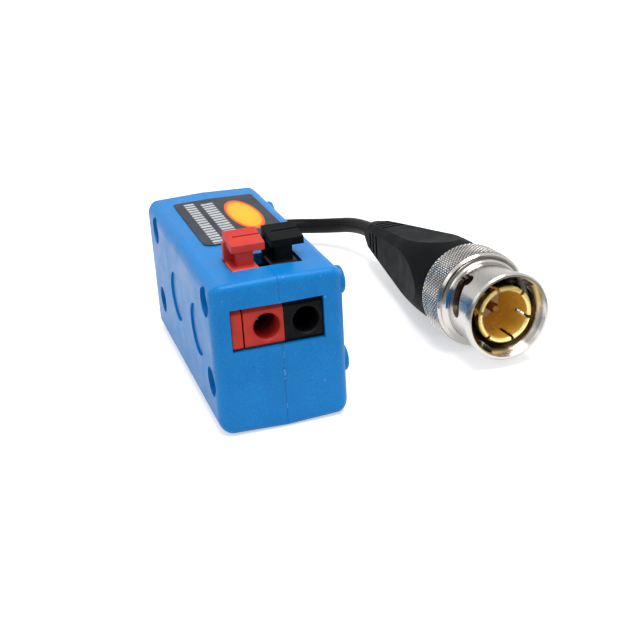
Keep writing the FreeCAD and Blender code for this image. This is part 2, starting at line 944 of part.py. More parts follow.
def entry_groove(turn):
    """The straight groove that lets a stud of the jack in from the mouth."""
    outer = jack_bore_radius + track_depth
    half = track_width / 2
    groove = box(0, outer, -half, half, -overcut, track_start)
    groove = groove.common(Part.makeCylinder(outer, track_start + 2 * overcut, Vector(0, 0, -overcut)))
    groove.rotate(Vector(0, 0, 0), Vector(0, 0, 1), track_start_deg + turn)
    return groove


def coupling_nut():
    """The bayonet nut: rim, sleeve, shoulder, knurled grip and two cam tracks."""
    nut = revolve([
        (rim_bevel, rim_inner_radius + rim_round),
        (0, rim_inner_radius + 2 * rim_round),
        (0, rim_radius - rim_round),
        (rim_round, rim_radius),
        (rim_length - rim_round, rim_radius),
        (rim_length + sleeve_fall, sleeve_radius),
        (shoulder_start, sleeve_radius),
        (shoulder_start, knurl_radius - knurl_bevel),
        (knurl_start, knurl_radius),
        (nut_length - nut_chamfer, knurl_radius),
        (nut_length, knurl_radius - nut_chamfer),
        (nut_length, barrel_radius + run_gap),
        (nut_length - nut_lip_thick, barrel_radius + run_gap),
        (nut_length - nut_lip_thick, nut_rear_bore),
        (nut_step, nut_rear_bore),
        (nut_step, jack_bore_radius),
        (rim_length + rim_round, jack_bore_radius),
        (rim_length - rim_round, rim_inner_radius),
    ])
    foot = [
        edge for edge in nut.Edges
        if edge.Closed and (edge.CenterOfMass - Vector(0, 0, shoulder_start)).Length < 0.01
    ]
    foot.sort(key=lambda edge: edge.Length)
    nut = nut.makeFillet(shoulder_hollow, foot[:1])
    inner_floor = jack_bore_radius + track_depth
    for turn in (0, 180):
        nut = nut.cut(cam_track(track_start_deg, track_width, inner_floor, turn))
        nut = nut.cut(cam_track(track_open_deg, track_width - 2 * track_step, knurl_radius, turn))
        nut = nut.cut(entry_groove(turn))
    return nut


def outer_contact():
    """The slit contact sleeve that springs into the jack."""
    neck = contact_front + contact_head
    base = body_front + body_front_gap
    end = flange_start + contact_base_rise
    base_radius = contact_radius + contact_base_rise
    sleeve = revolve([
        (contact_front + contact_round, contact_bore),
        (contact_front, contact_bore + contact_round),
        (contact_front, contact_radius - contact_round),
        (contact_front + contact_round, contact_radius),
        (neck - contact_neck_fall, contact_radius),
        (neck, contact_neck_radius),
        (base, contact_neck_radius),
        (base, base_radius),
        (end, base_radius),
        (end, contact_bore),
    ])
    half = slit_width / 2
    for count in range(contact_slits):
        slit = box(0, contact_radius + overcut, -half, half, 0, slit_end)
        slit.rotate(Vector(0, 0, 0), Vector(0, 0, 1), slit_turn_deg + 360 / contact_slits * count)
        sleeve = sleeve.cut(slit)
    return sleeve


def plug_body():
    """The turned body: front ring, flange, barrel and crimp tail."""
    seat = contact_radius + contact_base_rise + seat_gap
    step = flange_start + contact_base_rise + seat_gap
    back = insulator_end + seat_gap
    return revolve([
        (body_front, seat),
        (body_front, body_front_radius),
        (flange_start, body_front_radius),
        (flange_start, flange_radius),
        (flange_start + flange_thick, flange_radius),
        (flange_start + flange_thick, barrel_radius),
        (barrel_end, barrel_radius),
        (barrel_end, tail_radius),
        (tail_end, tail_radius),
        (tail_end, tail_bore),
        (back, tail_bore),
        (back, contact_bore),
        (step, contact_bore),
        (step, seat),
    ])


def insulator():
    step = insulator_front + insulator_step
    root_bore = pin_root_radius + seat_gap
    back_bore = pin_back_radius + seat_gap
    radius = contact_bore - seat_gap
    return revolve([
        (insulator_front, root_bore),
        (insulator_front, radius),
        (insulator_end, radius),
        (insulator_end, back_bore),
        (step, back_bore),
        (step, root_bore),
    ])


def centre_pin():
    """The contact pin: a slim front, a thicker root in the insulator and a thick back."""
    root = insulator_front - seat_gap
    step = insulator_front + insulator_step + seat_gap
    return revolve([
        (pin_tip, 0),
        (pin_tip, pin_front_radius - pin_point / 2),
        (pin_tip + pin_point, pin_front_radius),
        (root, pin_front_radius),
        (root, pin_root_radius),
        (step, pin_root_radius),
        (step, pin_back_radius),
        (pin_end, pin_back_radius),
        (pin_end, 0),
    ])


def gasket():
    end = body_front - seat_gap
    return tube(body_front_radius - seat_gap, contact_neck_radius + seat_gap, end - gasket_thick, end)


def wave_washer():
    """A spring ring whose height rises and falls round it."""
    base = flange_start + flange_thick + seat_gap
    rise = (thrust_start - base - wave_thick - seat_gap) / 2

    def loop(radius, length):
        count = wave_count * wave_points
        points = []
        for number in range(count):
            angle = 2 * math.pi * number / count
            lift = rise * (1 + math.cos(wave_count * angle))
            points.append(Vector(radius * math.cos(angle), radius * math.sin(angle), length + lift))
        curve = Part.BSplineCurve()
        curve.interpolate(points, PeriodicFlag=True)
        return curve.toShape()

    low_in = loop(washer_inner, base)
    low_out = loop(washer_outer, base)
    high_in = loop(washer_inner, base + wave_thick)
    high_out = loop(washer_outer, base + wave_thick)
    pairs = [(low_in, low_out), (low_out, high_out), (high_out, high_in), (high_in, low_in)]
    shell = Part.Shell([Part.makeRuledSurface(first, second) for first, second in pairs])
    return Part.Solid(shell)


def thrust_washer():
    end = thrust_start + thrust_thick
    return tube(nut_rear_bore - run_gap, barrel_radius + run_gap, thrust_start, end)


def ferrule():
    inner = tail_radius + seat_gap
    return tube(inner + ferrule_thick, inner, ferrule_start, tail_end)


def cone_radius(length):
    """The boot's radius along its cone."""
    share = (length - boot_cone_start) / (boot_cone_end - boot_cone_start)
    return boot_radius + share * (boot_cone_radius - boot_radius)


def boot_flats():
    """A square bar that narrows to the back, which leaves four flats on the boot."""
    cone_length = boot_cone_end - boot_cone_start
    stations = [(boot_collar_end, boot_radius), (boot_collar_end + boot_flat_blend, boot_radius * 0.94)]
    for share in (0.1, 0.5, 1.0, 1.25):
        length = boot_cone_start + share * cone_length
        stations.append((length, cone_radius(length) * boot_flat_share))
    squares = []
    for length, half in stations:
        corners = [
            Vector(-half, -half, length), Vector(half, -half, length),
            Vector(half, half, length), Vector(-half, half, length),
        ]
        squares.append(Part.makePolygon(corners + corners[:1]))
    return Part.makeLoft(squares, True, False)


def relief_slots():
    """Rings of short slots that let the boot's tail flex, with bridges at its corners."""
    cuts = []
    half = bridge_width / 2
    for count in range(slot_count):
        start = slot_first + count * slot_pitch
        end = start + slot_width
        depth_radius = cone_radius((start + end) / 2) * boot_flat_share - slot_depth
        ring = tube(boot_radius, depth_radius, start, end)
        for angle in (45, 135, 225, 315):
            bridge = box(0, boot_radius + overcut, -half, half, start - overcut, end + overcut)
            bridge.rotate(Vector(0, 0, 0), Vector(0, 0, 1), angle)
            ring = ring.cut(bridge)
        cuts.append(ring)
    return cuts


def boot():
    """The moulded boot: a round collar, a cone with four flats, and a slotted tail."""
    barrel = barrel_radius + seat_gap
    bore = cable_radius + seat_gap
    socket_end = boot_end - boot_socket
    solid = revolve([
        (boot_start, barrel),
        (boot_start, boot_radius - boot_lip_round),
        (boot_start + boot_lip_round * 0.3, boot_radius - boot_lip_round * 0.3),
        (boot_start + boot_lip_round, boot_radius),
        (boot_cone_start, boot_radius),
        (boot_cone_end, boot_cone_radius),
        (boot_end - boot_tail_length, boot_cone_radius - boot_tail_fall),
        (boot_end - boot_lip_length, boot_end_radius + boot_lip_rise),
        (boot_end, boot_end_radius),
        (boot_end, bore),
        (socket_end, bore),
        (socket_end, 0),
        (tail_end + boot_tail_gap, 0),
        (tail_end + boot_tail_gap, ferrule_bore),
        (barrel_end + seat_gap, ferrule_bore),
        (barrel_end + seat_gap, barrel),
    ])
    swell = [
        edge for edge in solid.Edges
        if edge.Closed and abs(edge.CenterOfMass.z - boot_cone_start) < 0.01
    ]
    solid = solid.makeFillet(boot_swell, swell)
    collar = Part.makeCylinder(boot_radius + overcut, boot_collar_end)
    solid = solid.common(collar.fuse(boot_flats()))
    for cut in relief_slots():
        solid = solid.cut(cut)
    return solid


def case_parts():
    parts = {
        "case_left": case_left(),
        "case_right": case_right(),
        "label": label(),
        "terminal_end_plate": end_plate(),
        "circuit_board": circuit_board(),
        "balun_core": core(),
        "winding_pair": winding(20),
        "winding_coax": winding(200),
        "surge_diode": surge_diode(),
        "capacitor": capacitor(),
        "lead_core": lead_end(1),
        "lead_screen": lead_end(-1),
        "cable_bush": bush(),
        "cable": cable(),
    }
    for number, colour in enumerate(("red", "black")):
        parts["terminal_" + colour] = pole_body(number)
        parts["lever_" + colour] = lever(number)
        parts["spring_" + colour] = spring(number)
        parts["contact_" + colour] = contact_bar(number)
    return parts


def plug_parts():
    parts = {
        "coupling_nut": coupling_nut(),
        "plug_body": plug_body(),
        "outer_contact": outer_contact(),
        "insulator": insulator(),
        "centre_pin": centre_pin(),
        "gasket": gasket(),
        "wave_washer": wave_washer(),
        "thrust_washer": thrust_washer(),
        "crimp_ferrule": ferrule(),
        "plug_boot": boot(),
    }
    place = plug_placement()
    for shape in parts.values():
        shape.Placement = place.multiply(shape.Placement)
    return parts


def main():
    parts = case_parts()
    parts.update(plug_parts())
    os.makedirs("parts", exist_ok=True)
    for name, shape in parts.items():
        shape.exportStep("parts/" + name + ".step")
        good = shape.isValid() and all(solid.isClosed() for solid in shape.Solids)
        print(name, "solids", len(shape.Solids), "volume", round(shape.Volume, 2), "ok" if good else "NOT VALID")


main()
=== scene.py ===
# %% [markdown]
# A passive video balun turns the signal of a twisted pair into one for a coaxial jack.
# Its case, terminals, lead and plug come from a CAD model that already has the true
# sizes, so this lesson only dresses that model: it adds a soft lead, a knurled grip,
# and the colours and surfaces of each piece. We start by loading the model.

import bpy
import math
from mathutils import Matrix, Vector


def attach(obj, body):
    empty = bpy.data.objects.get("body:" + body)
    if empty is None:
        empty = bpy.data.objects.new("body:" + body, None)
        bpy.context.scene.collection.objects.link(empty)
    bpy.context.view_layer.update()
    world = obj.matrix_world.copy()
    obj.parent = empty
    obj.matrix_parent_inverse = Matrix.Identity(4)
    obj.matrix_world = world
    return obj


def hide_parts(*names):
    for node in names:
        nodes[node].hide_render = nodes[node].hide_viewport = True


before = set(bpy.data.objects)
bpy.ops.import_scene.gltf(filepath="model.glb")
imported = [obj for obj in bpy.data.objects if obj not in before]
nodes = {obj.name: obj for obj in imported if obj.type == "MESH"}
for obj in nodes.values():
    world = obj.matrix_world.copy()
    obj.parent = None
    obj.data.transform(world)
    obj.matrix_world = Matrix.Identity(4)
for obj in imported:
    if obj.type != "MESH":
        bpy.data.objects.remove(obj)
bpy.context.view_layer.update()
scene = bpy.context.scene
print("pieces in the model:", len(nodes))

# %% [markdown]
# The part is seen from the left, above the terminals, through a fairly long lens. The
# camera is aimed by three turns, as a photographer would: how far it looks down, how
# far it swings to the side, and a slight roll. A fourth, small turn makes up for the
# lean of the case.

# %% Place the camera
lens_mm = 62.36
sensor_mm = 36
camera_place = Vector((-0.032895, -0.140916, 0.067574))
swing = Matrix.Rotation(-0.3125, 3, "Z")
look_down = Matrix.Rotation(-0.3962, 3, "X")
roll = Matrix.Rotation(0.0369, 3, "Y")
case_lean = Matrix.Rotation(-0.0192, 3, "Y")
aim = case_lean.transposed() @ swing @ look_down @ roll

camera_data = bpy.data.cameras.new("camera")
camera_data.lens = lens_mm
camera_data.sensor_width = sensor_mm
camera_data.clip_start = 0.005
camera_data.clip_end = 5
camera = bpy.data.objects.new("camera", camera_data)
scene.collection.objects.link(camera)
right, ahead, up = aim.col[0], aim.col[1], aim.col[2]
turned = Matrix((right, up, -ahead)).transposed()
camera.matrix_world = Matrix.Translation(camera_place) @ turned.to_4x4()
scene.camera = camera
print("camera looks along", [round(value, 3) for value in ahead])

# %% [markdown]
# The lead is thin coax. It leaves the bush straight, swings round behind the case in a
# half circle and enters the boot. A cord is best drawn as one NURBS curve with a few
# control points, since that bends as evenly as a real jacket does. These are the points
# of the model's own route.

# %% Route of the lead
lead_diameter = 0.0027
lead_route = [
    (0.0, 0.0174, 0.0102),
    (0.0, 0.0264, 0.0102),
    (0.0, 0.03629, 0.0084),
    (0.00425, 0.04366, 0.0060),
    (0.01162, 0.04791, 0.0040),
    (0.02012, 0.04791, 0.0035),
    (0.02748, 0.04366, 0.0037),
    (0.03173, 0.03629, 0.00556),
    (0.03197, 0.0280, 0.00587),
]
print("lead control points:", len(lead_route))

# %% [markdown]
# The tube's radius is the bevel depth times the radius of each point. A curve's box
# grows by the points' radius, so the true size goes there. The lead rides on the case,
# stands in for the model's plain cable, and takes the whole plug along.

# %% Lay the lead
lead_curve = bpy.data.curves.new("lead", "CURVE")
lead_curve.dimensions = "3D"
line = lead_curve.splines.new("NURBS")
line.points.add(len(lead_route) - 1)
for point, place in zip(line.points, lead_route):
    point.co = (*place, 1)
    point.radius = lead_diameter / 2
line.order_u = 3
line.use_endpoint_u = True
lead_curve.resolution_u = 24
lead_curve.bevel_depth = 1.0
lead_curve.bevel_resolution = 6
lead_curve.use_fill_caps = True
lead = bpy.data.objects.new("lead", lead_curve)
scene.collection.objects.link(lead)
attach(lead, "base")
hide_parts("cable")

# %% [markdown]
# Every surface here gets its own small node tree. Three helpers keep those trees short:
# one starts a material with its shader, one adds a node and fills in its values, and
# one joins two sockets. A value that is the same all over is set on the shader itself.

# %% Helpers for nodes
def start_finish(name, colour, roughness, metallic=0.0, shine=0.25):
    """A new material and its shader."""
    material = bpy.data.materials.new(name)
    material.use_nodes = True
    shader = material.node_tree.nodes["Principled BSDF"]
    shader.inputs["Base Color"].default_value = (*colour, 1)
    shader.inputs["Roughness"].default_value = roughness
    shader.inputs["Metallic"].default_value = metallic
    shader.inputs["Specular IOR Level"].default_value = shine
    return material, shader


def add(owner, kind, **values):
    """A new node, with each value set as a property or else on the input of that name."""
    node = owner.node_tree.nodes.new("ShaderNode" + kind)
    for name, value in values.items():
        if hasattr(node, name):
            setattr(node, name, value)
        else:
            node.inputs[name].default_value = value
    return node


def join(owner, source, target):
    owner.node_tree.links.new(source, target)


print("node helpers ready")

# %% [markdown]
# Marks are drawn by sums on the place of a point. One helper does a single sum, and the
# others give the place, which stays fixed to the piece when the piece moves. Small
# marks are easier to place in millimetres, so lengths are turned to them.

# %% Sums and places
def sums(owner, operation, *terms):
    """One sum, in which each term is a number or a socket."""
    node = add(owner, "Math", operation=operation)
    for socket, term in zip(node.inputs, terms):
        if isinstance(term, (int, float)):
            socket.default_value = term
        else:
            join(owner, term, socket)
    return node.outputs["Value"]


def place_of(material):
    """Coordinates in metres, fixed to the piece."""
    return add(material, "TexCoord").outputs["Object"]


def in_mm(material, metres):
    return sums(material, "MULTIPLY", metres, 1000.0)


def place_in_mm(material):
    """X, Y and Z on the piece, in millimetres."""
    split = add(material, "SeparateXYZ")
    join(material, place_of(material), split.inputs["Vector"])
    return [in_mm(material, split.outputs[axis]) for axis in "XYZ"]


print("sums and places ready")

# %% [markdown]
# Real surfaces are never quite even. Noise gives a value that wanders over the piece,
# and the next helpers put it to use: as a narrow range of roughness or as a blend of
# two tones. The last one mixes two colours, which may come from other nodes.

# %% Noise and tones
noise_low = 0.35
noise_high = 0.65


def speckle(material, scale, detail=3.0):
    """A noise with a scale in lumps per metre."""
    noise = add(material, "TexNoise", Scale=scale, Detail=detail)
    join(material, place_of(material), noise.inputs["Vector"])
    return noise.outputs["Fac"]


def spread(material, value, low, high, from_low=noise_low, from_high=noise_high):
    """Maps a value on to a narrow range, for roughness or strength."""
    ramp = add(material, "MapRange")
    ramp.inputs["From Min"].default_value = from_low
    ramp.inputs["From Max"].default_value = from_high
    ramp.inputs["To Min"].default_value = low
    ramp.inputs["To Max"].default_value = high
    join(material, value, ramp.inputs["Value"])
    return ramp.outputs["Result"]


def two_tones(material, value, first, second, low=noise_low, high=noise_high):
    """Blends two colours by a value."""
    ramp = add(material, "ValToRGB")
    for stop, position, colour in zip(ramp.color_ramp.elements, (low, high), (first, second)):
        stop.position = position
        stop.color = (*colour, 1)
    join(material, value, ramp.inputs["Fac"])
    return ramp.outputs["Color"]


def mixed(material, share, first, second, blend="MIX"):
    """Mixes two colours by a share. Each is a value or a socket."""
    node = add(material, "MixRGB", blend_type=blend)
    for name, value in (("Fac", share), ("Color1", first), ("Color2", second)):
        if isinstance(value, tuple):
            node.inputs[name].default_value = (*value, 1)
        elif isinstance(value, float):
            node.inputs[name].default_value = value
        else:
            join(material, value, node.inputs[name])
    return node.outputs["Color"]


print("noise wanders between", noise_low, "and", noise_high)

# %% [markdown]
# Three more helpers finish a surface: a mask with soft edges places a mark, a bump
# lifts the surface for the light, and the last one puts the finished material on the
# model's pieces.

# %% Masks and bumps
def inside(material, value, low, high, soft=0.05):
    """1 where a value lies between two limits, with soft edges."""
    rise = add(material, "MapRange", interpolation_type="SMOOTHSTEP")
    fall = add(material, "MapRange", interpolation_type="SMOOTHSTEP")
    for node, start, end in ((rise, low - soft, low + soft), (fall, high + soft, high - soft)):
        node.inputs["From Min"].default_value = start
        node.inputs["From Max"].default_value = end
        join(material, value, node.inputs["Value"])
    return sums(material, "MULTIPLY", rise.outputs["Result"], fall.outputs["Result"])


def bump(material, shader, height, depth, strength):
    """Raises the surface by a height value times a depth in metres."""
    node = add(material, "Bump", Distance=depth, Strength=strength)
    join(material, height, node.inputs["Height"])
    previous = shader.inputs["Normal"].links
    if previous:
        join(material, previous[0].from_socket, node.inputs["Normal"])
    join(material, node.outputs["Normal"], shader.inputs["Normal"])


def dress(material, *names):
    """Puts a material on the slots of the model's own pieces."""
    for name in names:
        for slot in nodes[name].material_slots:
            slot.material = material


print("surface helpers ready")

# %% [markdown]
# The case is moulded plastic in a clear blue with a satin face. A mould leaves a fine
# even grain, which breaks up the gloss, and handling leaves paler rubs. Noise at two
# scales does both: a fine one lifts the surface and shades it a little, and a coarse
# one shifts the tone and the gloss.

# %% Blue case
case_blue, shader = start_finish("case_blue", (0.002, 0.186, 0.535), 0.4, shine=0.2)
grain = speckle(case_blue, scale=5200, detail=2.0)
rubs = speckle(case_blue, scale=260, detail=4.0)
blue = two_tones(case_blue, rubs, (0.001, 0.175, 0.50), (0.002, 0.197, 0.545))
grained = mixed(case_blue, 1.0, blue, spread(case_blue, grain, 0.9, 1.09), blend="MULTIPLY")
join(case_blue, spread(case_blue, rubs, 0.36, 0.46), shader.inputs["Roughness"])
bump(case_blue, shader, grain, depth=0.00004, strength=0.5)
print("blue mixed for", case_blue.name)

# %% [markdown]
# Where the two halves of the mould meet, a fine seam runs over the case. It is a thin
# dark line with a slightly ragged edge, so its distance from the middle is shifted by
# a little noise before the line is drawn. Pale burrs sit along it, and a few pale
# specks show where the case was knocked. Widths are in millimetres.

# %% Seam between the halves
seam_half_width = 0.055
burr_half_width = 0.11
seam_wander = 0.08
seam_shade = 0.45
seam_blue = (0.002, 0.06, 0.20)
scuff_blue = (0.25, 0.50, 0.78)
side, _, _ = place_in_mm(case_blue)
wander = speckle(case_blue, scale=1800, detail=2.0)
ragged = sums(case_blue, "MULTIPLY_ADD", wander, seam_wander, -seam_wander / 2)
from_seam = sums(case_blue, "ABSOLUTE", sums(case_blue, "ADD", side, ragged))
seam = inside(case_blue, from_seam, -1.0, seam_half_width, soft=0.03)
seamed = mixed(case_blue, sums(case_blue, "MULTIPLY", seam, seam_shade), grained, seam_blue)
specks = spread(case_blue, speckle(case_blue, scale=2100), 0.0, 0.4, from_low=0.715, from_high=0.77)
burrs = spread(case_blue, speckle(case_blue, scale=1300), 0.0, 0.7, from_low=0.62, from_high=0.70)
burrs = sums(case_blue, "MULTIPLY", burrs, inside(case_blue, from_seam, -1.0, burr_half_width, soft=0.04))
worn = mixed(case_blue, sums(case_blue, "MAXIMUM", specks, burrs), seamed, scuff_blue)
join(case_blue, worn, shader.inputs["Base Color"])
bump(case_blue, shader, sums(case_blue, "SUBTRACT", 1.0, seam), depth=0.00006, strength=0.6)
dress(case_blue, "case_left", "case_right")
print("case dressed, with a seam", 2 * seam_half_width, "mm wide")

# %% [markdown]
# The terminal poles and levers are moulded in signal red and in black. They are the
# same plastic, only smoother on the levers, where a thumb polishes them. One function
# makes all four, from a dark tone, a light tone and a gloss. A bevel node rounds their
# edges for the light. Little light gets into the wire holes, so painted shade darkens the
# plastic behind the front face, up to just below the roof.

# %% Red and black plastic
hole_front_mm = -16.9
hole_top_mm = 17.0
far_mm = 20.0
# the share of the tone left in the painted shade behind the front face
hole_shade_share = 0.4


def moulded(name, dark, light, gloss, shine):
    material, shader = start_finish(name, light, gloss, shine=shine)
    soft_edge = add(material, "Bevel", samples=6, Radius=0.00015)
    join(material, soft_edge.outputs["Normal"], shader.inputs["Normal"])
    clouds = speckle(material, scale=420)
    _, y, z = place_in_mm(material)
    behind = inside(material, y, hole_front_mm, far_mm, soft=0.4)
    below = inside(material, z, -1.0, hole_top_mm, soft=0.4)
    # painted shade: the plastic behind the front face and below the roof is darkened
    painted_hole_shade = sums(material, "MULTIPLY", behind, below)
    hole_shade_tone = tuple(value * hole_shade_share for value in dark)
    tones = two_tones(material, clouds, dark, light)
    join(material, mixed(material, painted_hole_shade, tones, hole_shade_tone), shader.inputs["Base Color"])
    join(material, spread(material, clouds, gloss - 0.04, gloss + 0.06), shader.inputs["Roughness"])
    bump(material, shader, speckle(material, scale=6500, detail=2.0), depth=0.000015, strength=0.3)
    return material


terminal_red = moulded("terminal_red", (0.43, 0.024, 0.014), (0.51, 0.034, 0.020), 0.42, 0.25)
terminal_black = moulded("terminal_black", (0.003, 0.003, 0.004), (0.006, 0.006, 0.007), 0.5, 0.16)
lever_red = moulded("lever_red", (0.50, 0.030, 0.022), (0.58, 0.042, 0.030), 0.36, 0.25)
lever_black = moulded("lever_black", (0.003, 0.004, 0.005), (0.006, 0.007, 0.008), 0.45, 0.08)
dress(terminal_red, "terminal_red", "terminal_end_plate")
dress(terminal_black, "terminal_black")
dress(lever_red, "lever_red")
dress(lever_black, "lever_black")
print("terminals and levers dressed")

# %% [markdown]
# The label is a thin dark film with plain print: two rows of pale bars and an amber
# oval. Both are drawn in the material from the place on the roof, in millimetres. The
# bars repeat along Y, each from one share of the pitch to another, and a little noise
# makes them uneven in width.

# %% Rows of bars on the label
bar_pitch = 1.12
bar_start = 0.28
bar_end = 0.92
bar_wobble = 0.3
bar_grey = (0.46, 0.47, 0.49)


def bar_row(material, x, y, left, right, front, rear):
    """A row of short bars along Y, between four limits."""
    wobble = sums(material, "MULTIPLY", speckle(material, scale=900, detail=1.0), bar_wobble)
    step = sums(material, "FRACT", sums(material, "DIVIDE", y, bar_pitch))
    bars = inside(material, sums(material, "ADD", step, wobble), bar_start, bar_end, soft=0.06)
    across = inside(material, x, left, right)
    along = inside(material, y, front, rear)
    return sums(material, "MULTIPLY", bars, sums(material, "MULTIPLY", across, along))


label_face, shader = start_finish("label_face", (0.03, 0.035, 0.042), 0.5, shine=0.16)
x, y, _ = place_in_mm(label_face)
clouds = speckle(label_face, scale=300, detail=4.0)
film = two_tones(label_face, clouds, (0.024, 0.029, 0.036), (0.036, 0.042, 0.050))
long_row = bar_row(label_face, x, y, left=-4.06, right=-2.6, front=-4.9, rear=14.3)
short_row = bar_row(label_face, x, y, left=-1.75, right=0.0, front=-2.0, rear=13.2)
barred = mixed(label_face, sums(label_face, "MAXIMUM", long_row, short_row), film, bar_grey)
print("two rows of bars on", label_face.name)

# %% [markdown]
# The oval is amber with a red rim. A point lies inside it where its two distances from
# the middle, each as a share of the half size, have squares that add up to less than
# one. The same sum drives the colours, so they follow the oval's outline.

# %% Oval on the label
oval_x, oval_y = 2.9, 5.85
oval_half_width, oval_half_length = 2.3, 7.2
oval_colours = [
    (0.0, (0.82, 0.44, 0.02, 1)),
    (0.62, (0.80, 0.39, 0.015, 1)),
    (0.82, (0.72, 0.10, 0.02, 1)),
]


def squared_share(value, middle, half_size):
    """The square of a distance from the middle, as a share of the half size."""
    share = sums(label_face, "DIVIDE", sums(label_face, "SUBTRACT", value, middle), half_size)
    return sums(label_face, "MULTIPLY", share, share)


across = squared_share(x, oval_x, oval_half_width)
along = squared_share(y, oval_y, oval_half_length)
reach = sums(label_face, "ADD", across, along)
amber = add(label_face, "ValToRGB")
amber.color_ramp.elements.new(0.5)
for stop, (position, colour) in zip(amber.color_ramp.elements, oval_colours):
    stop.position = position
    stop.color = colour
join(label_face, reach, amber.inputs["Fac"])
in_oval = inside(label_face, reach, -1.0, 1.0, soft=0.03)
printed = mixed(label_face, in_oval, barred, amber.outputs["Color"])
join(label_face, printed, shader.inputs["Base Color"])
bump(label_face, shader, speckle(label_face, scale=2500, detail=2.0), depth=0.00001, strength=0.3)
dress(label_face, "label")
print("label printed with two rows and an oval")

# %% [markdown]
# Cable jacket, boot and bush are all soft black plastic. The jacket has a dull shine
# along its length, and the boot is a little rougher, as its mould was blasted. Both
# have faint clouds, a bit lighter than the rest.

# %% Black soft plastics
def soft_black(name, colour, gloss, shine, grain, depth):
    material, shader = start_finish(name, colour, gloss, shine=shine)
    clouds = speckle(material, scale=350, detail=4.0)
    lighter = tuple(value * 1.5 for value in colour)
    join(material, two_tones(material, clouds, colour, lighter), shader.inputs["Base Color"])
    join(material, spread(material, clouds, gloss - 0.05, gloss + 0.06), shader.inputs["Roughness"])
    bump(material, shader, speckle(material, scale=grain), depth, strength=0.4)
    return material


lead_black = soft_black("lead_black", (0.004, 0.004, 0.005), 0.38, 0.1, grain=3000, depth=0.00001)
boot_black = soft_black("boot_black", (0.0032, 0.0040, 0.0048), 0.6, 0.045, grain=4200, depth=0.00002)
lead_curve.materials.append(lead_black)
dress(boot_black, "plug_boot", "cable_bush")
print("lead, boot and bush dressed")

# %% [markdown]
# The plug's own frame helps to place marks round its axis. It is worked out once, from
# the middle of the mouth and two small angles: X points left, Y up, and Z runs back
# from the mouth. Three dot products then give the place on a piece in that frame.

# %% The plug's own frame
mouth = Vector((0.03321, -0.01655, 0.0075))
yaw = math.radians(1.6)
dip = math.radians(2.1)
back = Vector((-math.sin(yaw) * math.cos(dip), math.cos(yaw) * math.cos(dip), -math.sin(dip)))
left = Vector((-math.cos(yaw), -math.sin(yaw), 0))
over = back.cross(left)


def plug_place(material):
    """X, Y and Z in the plug's own frame, in metres."""
    shift = add(material, "VectorMath", operation="SUBTRACT")
    join(material, place_of(material), shift.inputs[0])
    shift.inputs[1].default_value = mouth
    turned = []
    for axis in (left, over, back):
        dot = add(material, "VectorMath", operation="DOT_PRODUCT")
        join(material, shift.outputs["Vector"], dot.inputs[0])
        dot.inputs[1].default_value = axis
        turned.append(dot.outputs["Value"])
    return turned


print("plug axis runs back along", [round(value, 4) for value in back])

# %% [markdown]
# The bayonet nut is nickel plate over turned brass. Turning leaves very fine rings, and
# plating leaves a bright, slightly warm mirror, so the metal needs a low roughness with
# soft rings in it, and something around it to reflect. Washers and springs are duller.

# %% Nickel and steel
def plated(name, colour, gloss, rings, depth):
    """Turned metal, whose rings are waves along the plug's axis."""
    material, shader = start_finish(name, colour, gloss, metallic=1.0, shine=0.5)
    _, _, length = plug_place(material)
    wave = sums(material, "SINE", sums(material, "MULTIPLY", length, rings))
    cloud = speckle(material, scale=500)
    join(material, spread(material, cloud, gloss * 0.8, gloss * 1.3), shader.inputs["Roughness"])
    lighter = tuple(min(1.0, value * 1.08) for value in colour)
    join(material, two_tones(material, cloud, colour, lighter), shader.inputs["Base Color"])
    bump(material, shader, wave, depth, strength=0.25)
    return material


nut_nickel = plated("nut_nickel", (0.53, 0.505, 0.475), 0.17, rings=60000.0, depth=0.000003)
washer_steel = plated("washer_steel", (0.55, 0.54, 0.52), 0.3, rings=40000.0, depth=0.000004)
dress(nut_nickel, "coupling_nut", "plug_body", "crimp_ferrule")
dress(washer_steel, "wave_washer", "thrust_washer")
dress(washer_steel, "spring_red", "spring_black", "contact_red", "contact_black")
print("nickel and steel dressed")

# %% [markdown]
# The slit sleeve in the nut is gold plated. Plugging in polishes its tip to a paler
# gold, the bore is duller than the rest, and the outside deep behind the mouth gets a
# painted shade of brown, as it lies in the narrow gap under the nut. Each of these is a
# mask from two lengths in millimetres: how far a point lies from the plug's axis, and
# how deep behind the mouth. The centre pin's gold is darkened all over as painted shade.

# %% Gold contacts
bore_radius_mm = 3.6
outer_radius_mm = 3.65
tip_depth_mm = 1.5
rubbed_depth_mm = 2.6
# painted shade: brown for the outside of the sleeve in the gap under the nut
gap_shade_brown = (0.10, 0.055, 0.02)
pale_gold = (1.0, 0.78, 0.30)
contact_gold = plated("contact_gold", (1.0, 0.60, 0.08), 0.3, rings=50000.0, depth=0.000003)
gold_shader = contact_gold.node_tree.nodes["Principled BSDF"]
gold = gold_shader.inputs["Base Color"].links[0].from_socket
across, upward, length = (in_mm(contact_gold, value) for value in plug_place(contact_gold))
across_squared = sums(contact_gold, "MULTIPLY", across, across)
upward_squared = sums(contact_gold, "MULTIPLY", upward, upward)
from_axis = sums(contact_gold, "SQRT", sums(contact_gold, "ADD", across_squared, upward_squared))
outside = inside(contact_gold, from_axis, outer_radius_mm, far_mm, soft=0.1)
bore = inside(contact_gold, from_axis, 0.0, bore_radius_mm, soft=0.1)
deep = inside(contact_gold, length, rubbed_depth_mm, far_mm, soft=0.3)
tip = inside(contact_gold, length, 0.0, tip_depth_mm, soft=0.2)
